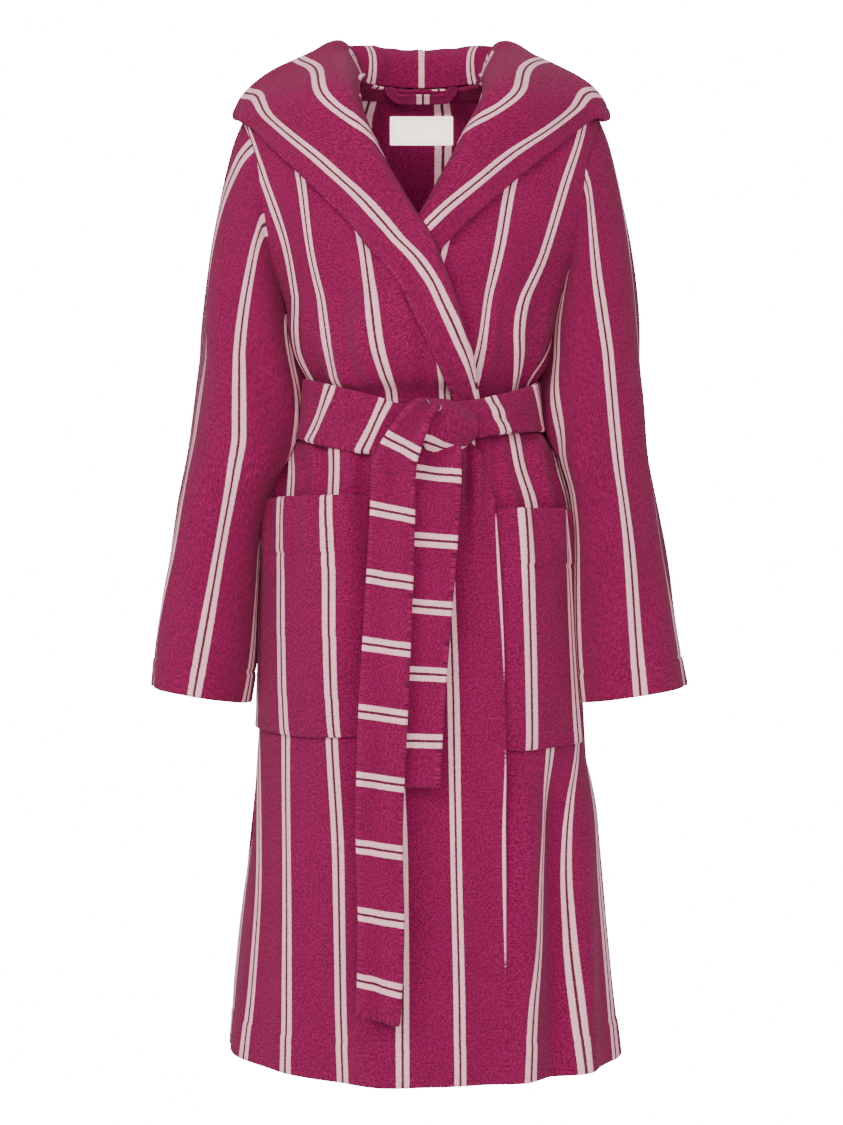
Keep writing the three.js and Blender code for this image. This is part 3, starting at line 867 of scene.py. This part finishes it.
def collar(side):
    points, u, v, at = hoodSurface(side, hoodRibs + 0.012, 15, 230, 80)
    rim = fromRim(points)
    uv = np.stack([rim + stripeRepeat / 2 - 0.031, arcs(points, 0)], -1)
    thickness = mix(terry, collarThickness, smooth(at, hoodRibs, hoodRibs + 0.8))
    thickness = thickness + 0.0012 * (1 - smooth(rim, 0.004, 0.012)) - 0.0012 * bump(rim, 0.013, 0.0018)
    if side > 0:
        points, uv, thickness = points[::-1], uv[::-1], thickness[::-1]
    name = "rightCollar" if side < 0 else "leftCollar"
    made = sheet(name, points, uv, thickness, robeTerry)
    return made


def hoodHalf(side):
    points, u, v, at = hoodSurface(side, 0.006, hoodRibs, 110, 230)
    rim = fromRim(points)
    neck = 0.3145 - arcs(points, 0)[:, :1]
    middle = mix(neck, rim, smooth(v, 0.42, 0.72))
    across = mix(middle, neck * rim / rim[:, :1], smooth(u, 0.7, 1.0))
    uv = np.stack([across + stripeRepeat / 2 - 0.031, arcs(points, 1)], -1)
    thickness = terry + 0.0016 * (1 - smooth(rim, 0.012, 0.016)) - 0.0012 * bump(rim, 0.017, 0.0018)
    if side > 0:
        points, uv, thickness = points[::-1], uv[::-1], thickness[::-1]
    name = "hoodRight" if side < 0 else "hoodLeft"
    made = sheet(name, points, uv, thickness, robeTerry)
    return made


def pocket(side):
    if side < 0:
        corners = {"top": (-0.180, -0.056, pocketTop), "bottom": (-0.184, -0.060, pocketBottom)}
    else:
        corners = {"top": (0.046, 0.165, leftPocketTop), "bottom": (0.050, 0.173, leftPocketBottom)}
    n, m = 70, 110
    s, t = lattice(n, m)
    topLow, topHigh, topDrop = corners["top"]
    low, high, bottomDrop = corners["bottom"]
    x = mix(mix(topLow, topHigh, s), mix(low, high, s), t)
    drop = mix(topDrop, bottomDrop, t) + 0.004 * np.sin(np.pi * s) * t
    angle, row, out = outOnFront(side, x, drop)
    bag = 0.011 * np.sin(np.pi * s) ** 0.7 * (1 - t ** 3) ** 0.7
    if side > 0:
        bag = bag * smooth(x, 0.078, 0.105)
    points = place(angle, row, out + step + bag)
    u = arcs(points, 0)
    shift = 0.022 if side < 0 else 0.039
    uv = np.stack([u + shift - 0.006 * t, arcs(points, 1)], -1)
    hem = hemmed(topDrop - drop + 0.9, 0.9, 0.060, 0.0022)
    name = "rightPocket" if side < 0 else "leftPocket"
    made = sheet(name, points, uv, hem, robeTerry)
    return made


beltThickness = 0.0075


def beltWaist():
    n, m = 300, 26
    s, t = lattice(n + 1, m)
    s, t = s[:-1], t[:-1]
    angle = 90 + 360 * s
    knots = [90, 180, 205, 232, 250, 262, 272, 290, 315, 340, 360, 450]
    topDrops = [0.350, 0.352, 0.357, 0.370, 0.381, 0.389, 0.387, 0.385, 0.373, 0.360, 0.354, 0.350]
    lowDrops = [0.409, 0.412, 0.418, 0.430, 0.437, 0.436, 0.434, 0.421, 0.412, 0.408, 0.410, 0.409]
    drop = mix(through(knots, topDrops, angle), through(knots, lowDrops, angle), t)
    front = smooth(-np.sin(np.radians(angle)), 0.0, 0.5)
    crown = 0.003 * np.sin(np.pi * t)
    out = 0.0105 + 0.0125 * front + crown + 0.0012 * ripple(s, t * 0.1, 0.045, 0.2, 120)
    points = place(angle, rowAt(mix(0.385, drop, 0.85)), out)
    points[..., 2] = -drop
    creases = (
        0.002
        * ripple(drop, angle / 90, 0.026, 2.0, 121)
        * smooth(angle, 255, 285)
        * (1 - smooth(angle, 300, 330))
    )
    points = points + gridNormals(points, closed=True) * creases[..., None]
    length = arcs(points[:, m // 2][:, None], 0)
    reach = np.interp([220.2, 305.8], angle[:, 0], length[:, 0])
    sideways = smooth(angle, 262, 278)
    lean = mix(0.018, -0.012, sideways) * (t - 0.5) * front
    uv = np.stack([length - mix(reach[0], reach[1], sideways) + stripeRepeat / 2 + lean, t * 0.058], -1)
    made = sheet(
        "beltWaist", points[:, ::-1], uv[:, ::-1], beltThickness, robeTerry, closed=True,
        roundness=6,
    )
    return made


# A ribbon of cloth along a path. Its width lies along tilt, and its face bows out by crown.
def strip(
    name, path, widths, tilt, thickness, startU, material=robeTerry, crown=0.0, n=16, m=160,
    wave=0.0, which=0, lean=0.0,
):
    s, t = lattice(n, m)
    middle = spline(path, t[0])
    sideways = spline(tilt, t[0])
    sideways = sideways / np.linalg.norm(sideways, axis=-1, keepdims=True)
    width = spline(np.array(widths, float)[:, None], t[0])[:, 0]
    points = middle[None] + sideways[None] * ((s - 0.5) * width[None])[..., None]
    along = np.gradient(middle, axis=0)
    face = np.cross(sideways, along)
    face = face / np.linalg.norm(face, axis=-1, keepdims=True)
    bow = crown * (1 - (2 * s - 1) ** 2) + wave * ripple(s * 0.05, t * 0.6, 0.05, 0.3, which)
    points = points + face[None] * bow[..., None]
    length = arcs(middle[None], 1)[0]
    uv = np.stack([length + startU + lean * (s - 0.5), s * 0.06], -1)
    return sheet(name, points, uv, thickness, material, roundness=6)


# The knot: a wide wrap that comes over the top and tucks in below, and beside it a narrow one that slants down
# to the wearer's right and runs on as the long tail.
def beltKnot():
    crossing = strip(
        "knotCrossing",
        [
            (0.027, -0.190, -0.394),
            (0.028, -0.205, -0.391),
            (0.029, -0.215, -0.398),
            (0.030, -0.219, -0.408),
            (0.031, -0.217, -0.420),
            (0.032, -0.208, -0.429),
            (0.032, -0.195, -0.428),
        ],
        [0.052, 0.056, 0.060, 0.061, 0.060, 0.054, 0.046],
        [
            (-1, -0.50, 0.26),
            (-1, -0.48, 0.24),
            (-1, -0.46, 0.10),
            (-1, -0.45, -0.04),
            (-1, -0.45, -0.18),
            (-1, -0.46, -0.29),
            (-1, -0.48, -0.30),
        ],
        0.0085, 0.042, crown=0.005, n=30, m=90, wave=0.0018, which=130, lean=0.024,
    )
    slanting = strip(
        "knotSlanting",
        [
            (0.013, -0.206, -0.402),
            (0.011, -0.226, -0.390),
            (0.004, -0.240, -0.391),
            (-0.006, -0.248, -0.405),
            (-0.016, -0.251, -0.424),
            (-0.025, -0.250, -0.443),
            (-0.030, -0.244, -0.462),
        ],
        [0.012, 0.014, 0.018, 0.025, 0.031, 0.037, 0.041],
        [
            (0.9, 0.2, -0.2),
            (0.9, 0.1, -0.3),
            (0.9, 0.0, -0.4),
            (0.88, 0.0, -0.46),
            (0.88, 0.0, -0.48),
            (0.9, -0.02, -0.44),
            (0.96, 0, -0.25),
        ],
        0.0085, 0.016, crown=0.004, n=24, m=90, wave=0.001, which=131,
    )
    return crossing, slanting


def tails():
    longPath = [
        (-0.030, -0.239, -0.444), (-0.031, -0.243, -0.50), (-0.035, -0.247, -0.60),
        (-0.041, -0.251, -0.72), (-0.045, -0.254, -0.84), (-0.043, -0.257, -0.95),
        (-0.046, -0.259, -1.043),
    ]
    longTail = strip(
        "longTail",
        longPath,
        [0.040, 0.041, 0.043, 0.045, 0.043, 0.042, 0.041],
        [
            (1, 0, -0.3), (1, -0.05, -0.2), (1, 0.02, -0.15), (1, 0.05, -0.14), (1, 0.12, -0.16),
            (1, -0.05, -0.17), (1, 0.02, -0.3),
        ],
        0.0085,
        0.0465,
        crown=0.002,
        m=260,
        n=26,
        wave=0.002,
        which=140,
    )
    shortPath = [
        (0.014, -0.212, -0.415), (0.014, -0.225, -0.47), (0.009, -0.229, -0.55),
        (0.003, -0.233, -0.63), (-0.003, -0.236, -0.71), (-0.008, -0.238, -0.797),
    ]
    shortTail = strip(
        "shortTail",
        shortPath,
        [0.050, 0.050, 0.050, 0.049, 0.048, 0.048],
        [(1, 0, -0.08), (1, 0.03, -0.1), (1, 0, -0.08), (1, -0.02, -0.08), (1, 0, -0.04), (1, 0, 0.0)],
        0.0085,
        0.058,
        crown=0.002,
        m=180,
        n=26,
        wave=0.0015,
        which=141,
    )
    return longTail, shortTail


def beltLoop(side):
    s, t = lattice(10, 60)
    drop = 0.386 + (t - 0.5) * 0.080
    angle = 180 + np.degrees((s - 0.5) * 0.014 / 0.1)
    sewn = place(angle, rowAt(drop), 0.0035)
    over = place(angle, rowAt(waistDrop + 0 * drop), 0.0192)
    over[..., 2] = -drop
    points = mix(sewn, over, smooth(np.minimum(t, 1 - t), 0.02, 0.16)[..., None])
    if side > 0:
        points[..., 0] = -points[..., 0]
        points = points[::-1]
    uv = np.stack([s * 0.014, t * 0.08], -1)
    made = sheet("rightBeltLoop" if side < 0 else "leftBeltLoop", points, uv, 0.002, plainTerry)
    return made


# A folded strip of the same cloth, sewn in at both ends of a flat U.
def hangerLoop():
    x0, y0 = 0.0375, -0.0177
    path = [
        (-x0, y0 + 0.001, -0.001), (-x0 + 0.002, y0, -0.007), (-x0 + 0.009, y0 - 0.001, -0.0135),
        (-0.018, y0 - 0.001, -0.0145), (0, y0 - 0.001, -0.0145), (0.018, y0 - 0.001, -0.0145),
        (x0 - 0.009, y0 - 0.001, -0.0135), (x0 - 0.002, y0, -0.007), (x0, y0 + 0.001, -0.001),
    ]
    tilt = [
        (1, 0, 0), (0.93, 0, 0.36), (0.4, 0, 0.9), (0.02, 0, 1), (0, 0, 1), (-0.02, 0, 1),
        (-0.4, 0, 0.9), (-0.93, 0, 0.36), (-1, 0, 0),
    ]
    made = strip("hangerLoop", path, [0.008] * 9, tilt, 0.0036, 0.0615, crown=0.0005, n=10, m=120)
    return made


def label():
    s, t = lattice(30, 16)
    low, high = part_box("label")
    half = (high.x - low.x) / 2
    drop = mix(-high.z, -low.z, t)
    row = rowAt(drop)
    angle = 90 - np.degrees((s - 0.5) * 2 * half / through(rows, halfWidths, row))
    points = place(angle, row, -terry / 2 - 0.0022)[::-1]
    uv = np.stack([s * 0.076, t * 0.034], -1)
    made = sheet("label", points, uv, 0.0011, labelSatin)
    return made


def neckTape():
    s, t = lattice(90, 8)
    angle = mix(22, 158, s)
    points = place(angle, t * rowAt(0.011), -terry / 2 - 0.0014)
    uv = np.stack([s * 0.2, t * 0.02], -1)
    made = sheet("neckTape", points, uv, 0.0012, plainTerry)
    return made


panels = {"backPanel": backPanel(), "rightFront": frontPanel(-1), "leftFront": frontPanel(1)}
print("panels made")
sleeves = {-1: sleeve(-1), 1: sleeve(1)}
print("sleeves made")
collars = {-1: collar(-1), 1: collar(1)}
hoods = {-1: hoodHalf(-1), 1: hoodHalf(1)}
print("hood and collar made")
pockets = {-1: pocket(-1), 1: pocket(1)}
belt = beltWaist()
crossing, slanting = beltKnot()
longTail, shortTail = tails()
loops = {-1: beltLoop(-1), 1: beltLoop(1)}
hanger, tag, tape = hangerLoop(), label(), neckTape()
print("pockets, belt and small pieces made")

stands = [
    (panels["backPanel"], "back_panel", "terry"),
    (panels["rightFront"], "right_front", "terry"),
    (panels["leftFront"], "left_front", "terry"),
    (sleeves[-1], "right_sleeve", "terry"),
    (sleeves[1], "left_sleeve", "terry"),
    (collars[-1], "right_collar", "terry"),
    (collars[1], "left_collar", "terry"),
    (hoods[-1], "hood_right_half", "terry"),
    (hoods[1], "hood_left_half", "terry"),
    (pockets[-1], "right_pocket", "terry"),
    (pockets[1], "left_pocket", "terry"),
    (belt, "belt_waist", "belt_terry"),
    (crossing, "belt_knot", "belt_terry"),
    (slanting, "belt_knot", "belt_terry"),
    (longTail, "belt_long_tail", "belt_terry"),
    (shortTail, "belt_short_tail", "belt_terry"),
    (loops[-1], "right_belt_loop", "terry"),
    (loops[1], "left_belt_loop", "terry"),
    (hanger, "hanger_loop", "terry"),
    (tag, "label", "label_satin"),
    (tape, "neck_tape", "tape"),
]
for piece, node, slot in stands:
    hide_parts(node)
    if node not in (
        "right_sleeve", "left_sleeve", "hood_right_half", "hood_left_half", "belt_long_tail",
        "belt_short_tail",
    ):
        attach(piece, "hanger_loop" if node == "hanger_loop" else "robe")
for side, body in ((-1, "right_sleeve"), (1, "left_sleeve")):
    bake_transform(sleeves[side])
for side in (-1, 1):
    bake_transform(hoods[side])
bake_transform(longTail)
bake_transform(shortTail)


# A white cove: the floor runs back and curves up behind the robe. The camera sees it brighter than it lights.
def cove():
    tree = Tree("cove")
    tree.put(tree.shader.inputs["Base Color"], (0.92, 0.92, 0.92, 1))
    tree.put(tree.shader.inputs["Roughness"], 0.9)
    glow = tree.nodes.new("ShaderNodeEmission")
    tree.put(glow.inputs["Strength"], 18.0)
    seen = tree.node("ShaderNodeLightPath")["Is Camera Ray"]
    blended = tree.nodes.new("ShaderNodeMixShader")
    tree.put(blended.inputs["Fac"], seen * 0.97)
    tree.links.new(tree.shader.outputs["BSDF"], blended.inputs[1])
    tree.links.new(glow.outputs["Emission"], blended.inputs[2])
    tree.links.new(blended.outputs["Shader"], tree.nodes["Material Output"].inputs["Surface"])
    s, t = lattice(2, 60)
    floorZ, wallY, radius = -1.5, 3.6, 1.4
    turn = np.clip((t - 0.45) / 0.3, 0, 1) * np.pi / 2
    y = np.where(t < 0.45, mix(-5, wallY - radius, t / 0.45), wallY - radius + radius * np.sin(turn))
    z = floorZ + radius * (1 - np.cos(turn)) + np.clip((t - 0.75) / 0.25, 0, 1) * 5
    points = np.stack([mix(-7, 7, s), y, z], -1).reshape(-1, 3)
    index = np.arange(120).reshape(2, 60)
    faces = np.stack([index[0, :-1], index[1, :-1], index[1, 1:], index[0, 1:]], -1)
    makeMesh("cove", points, faces, points[:, :2], tree.material)


# A wide soft key from the upper left, a weaker fill from the right and a light from behind for the edges.
def studio():
    cove()
    lights = {
        "key": {"at": (-1.5, -2.7, 1.3), "size": 1.6, "power": 76},
        "front": {"at": (0.5, -3.1, -0.1), "size": 2.0, "power": 56},
        "rim": {"at": (0.4, 2.0, 1.5), "size": 2.0, "power": 20},
    }
    for name, spec in lights.items():
        light = bpy.data.lights.new(name, "AREA")
        light.shape = "SQUARE"
        light.size = spec["size"]
        light.energy = spec["power"]
        lamp = bpy.data.objects.new(name, light)
        lamp.location = spec["at"]
        aim = Vector((0, -0.08, -0.5)) - Vector(spec["at"])
        lamp.rotation_euler = aim.to_track_quat("-Z", "Y").to_euler()
        bpy.context.scene.collection.objects.link(lamp)
    world = bpy.data.worlds.new("studio")
    world.use_nodes = True
    world.node_tree.nodes["Background"].inputs["Color"].default_value = (1, 1, 1, 1)
    world.node_tree.nodes["Background"].inputs["Strength"].default_value = 0.6
    bpy.context.scene.world = world
    camera = bpy.data.cameras.new("camera")
    camera.lens = 68.2
    camera.sensor_width = 36
    eye = bpy.data.objects.new("camera", camera)
    eye.location = (0, -2.525, -0.559)
    eye.rotation_euler = (np.pi / 2, 0, 0)
    bpy.context.scene.collection.objects.link(eye)
    bpy.context.scene.camera = eye


studio()
print("studio made")
